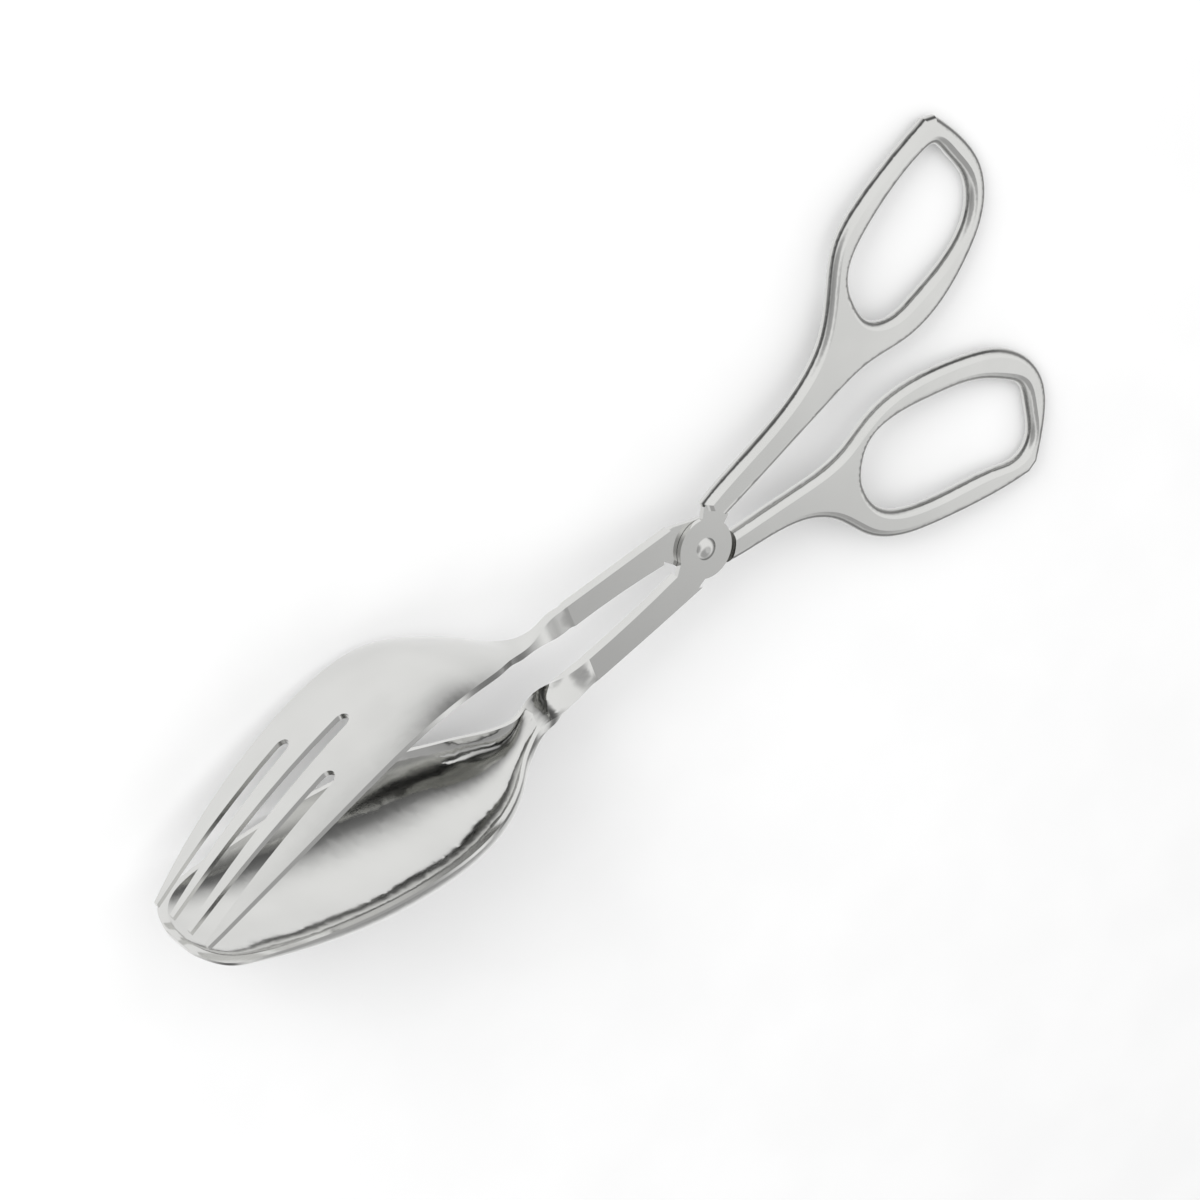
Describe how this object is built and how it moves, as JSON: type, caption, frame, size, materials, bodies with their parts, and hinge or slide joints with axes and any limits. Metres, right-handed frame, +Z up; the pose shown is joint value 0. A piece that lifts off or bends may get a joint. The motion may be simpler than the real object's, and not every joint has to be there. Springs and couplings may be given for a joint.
{
  "type": "salad serving tongs",
  "caption": "Scissor-action stainless steel salad tongs: a fork and a spoon crossing at a riveted lap joint, with two closed finger loops.",
  "frame": {"origin": "centre of the bounding box at table height, with the tongs lying on their side", "axes": "+X towards the tips of the fork and spoon, +Y from the fork towards the spoon, +Z up from the table"},
  "size_m": [0.2418, 0.0958, 0.0533],
  "materials": {
    "polished_steel": "polished stainless steel with a soft satin sheen",
    "rivet_steel": "polished rivet head"
  },
  "bodies": {
    "spoon_side": {"spoon_half": "polished_steel", "pivot_rivet": "rivet_steel"},
    "fork_side": {"fork_half": "polished_steel"}
  },
  "joints": [
    {"name": "pivot", "type": "hinge", "parent": "spoon_side", "child": "fork_side", "pos_m": [-0.02255, 0.01059, 0.0141], "axis": [0.1245, 0, -0.9922], "range_deg": [-0.7, 38]}
  ]
}
